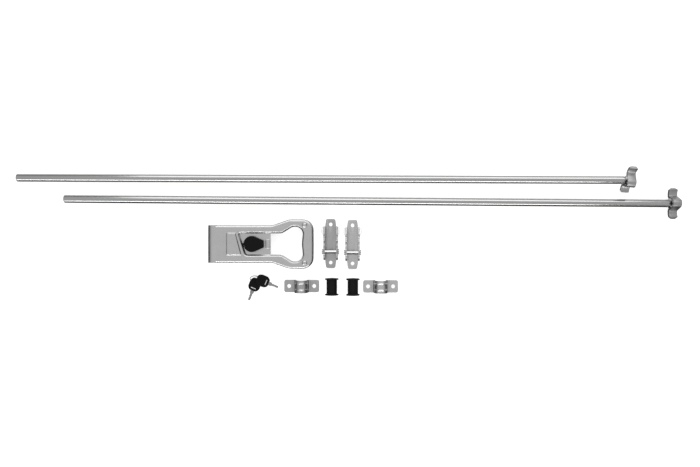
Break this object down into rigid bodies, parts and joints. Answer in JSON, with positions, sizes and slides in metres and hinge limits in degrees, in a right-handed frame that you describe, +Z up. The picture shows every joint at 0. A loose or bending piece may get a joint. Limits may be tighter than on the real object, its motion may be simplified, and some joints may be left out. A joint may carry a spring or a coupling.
{
  "type": "door lock bar kit",
  "caption": "Locking gear for a box body door: lock bars with end cams, a grip handle with key lock, bar bearings with bushes, keepers and keys, laid out flat.",
  "frame": {"origin": "centre of the base plate's four fixing holes, on its back face, which is the surface the kit lies on", "axes": "+X along the lock bars towards their cams, +Y towards the upper bar, +Z up from the surface"},
  "size_m": [1.3607, 0.2742, 0.0408],
  "materials": {
    "bright_zinc_tube": "bright zinc plated drawn tube",
    "zinc_forging": "zinc plated bent strip",
    "zinc_sheet": "bright zinc plated pressed sheet",
    "plated_hardware": "plated turned steel",
    "black_plastic": "moulded black nylon"
  },
  "bodies": {
    "door_set": {"base_plate": "zinc_sheet", "lock_housing": "black_plastic", "lock_nut": "plated_hardware", "cover_hinge_pin": "plated_hardware", "left_keeper": "zinc_sheet", "left_keeper_bar": "plated_hardware", "right_keeper": "zinc_sheet", "right_keeper_bar": "plated_hardware", "left_strap": "zinc_sheet", "right_strap": "zinc_sheet", "left_bush": "black_plastic", "right_bush": "black_plastic", "key_ring": "plated_hardware"},
    "handle": {"handle_lever": "zinc_sheet", "hub_sleeve": "plated_hardware", "hub_grub_screws": "plated_hardware", "handle_catch": "zinc_sheet"},
    "plug": {"lock_plug": "plated_hardware", "lock_tongue": "plated_hardware", "tongue_screw": "plated_hardware"},
    "cover": {"lock_cover": "black_plastic"},
    "upper_bar": {"upper_bar_tube": "bright_zinc_tube", "upper_bar_cam": "zinc_forging", "upper_cam_welds": "zinc_forging"},
    "lower_bar": {"lower_bar_tube": "bright_zinc_tube", "lower_bar_cam": "zinc_forging", "lower_cam_welds": "zinc_forging"},
    "key_a": {"key_a_head": "black_plastic", "key_a_blade": "plated_hardware"},
    "key_b": {"key_b_head": "black_plastic", "key_b_blade": "plated_hardware"}
  },
  "joints": [
    {"name": "handle_swing", "type": "hinge", "parent": "door_set", "child": "handle", "pos_m": [-0.0632, 0, 0.0142], "axis": [0, -1, 0], "range_deg": [0, 100]},
    {"name": "lock_turn", "type": "hinge", "parent": "door_set", "child": "plug", "pos_m": [0.0149, 0, 0.01], "axis": [0, 0, -1], "range_deg": [0, 90]},
    {"name": "cover_flip", "type": "hinge", "parent": "door_set", "child": "cover", "pos_m": [-0.0002, 0, 0.026], "axis": [0, -1, 0], "range_deg": [0, 90]},
    {"name": "upper_bar_turn", "type": "hinge", "parent": "door_set", "child": "upper_bar", "pos_m": [-0.4702, 0.1363, 0.008], "axis": [0.9999, -0.0049, 0.0113], "range_deg": [0, 90]},
    {"name": "lower_bar_turn", "type": "hinge", "parent": "door_set", "child": "lower_bar", "pos_m": [-0.3728, 0.0927, 0.008], "axis": [1, -0.0074, 0], "range_deg": [0, 90]},
    {"name": "key_a_swing", "type": "hinge", "parent": "door_set", "child": "key_a", "pos_m": [0.0206, -0.0768, 0.0024], "axis": [0, 0, 1], "range_deg": [-5, 5]},
    {"name": "key_b_swing", "type": "hinge", "parent": "door_set", "child": "key_b", "pos_m": [0.0266, -0.0725, 0.0074], "axis": [0, 0, 1], "range_deg": [-5, 5]}
  ]
}
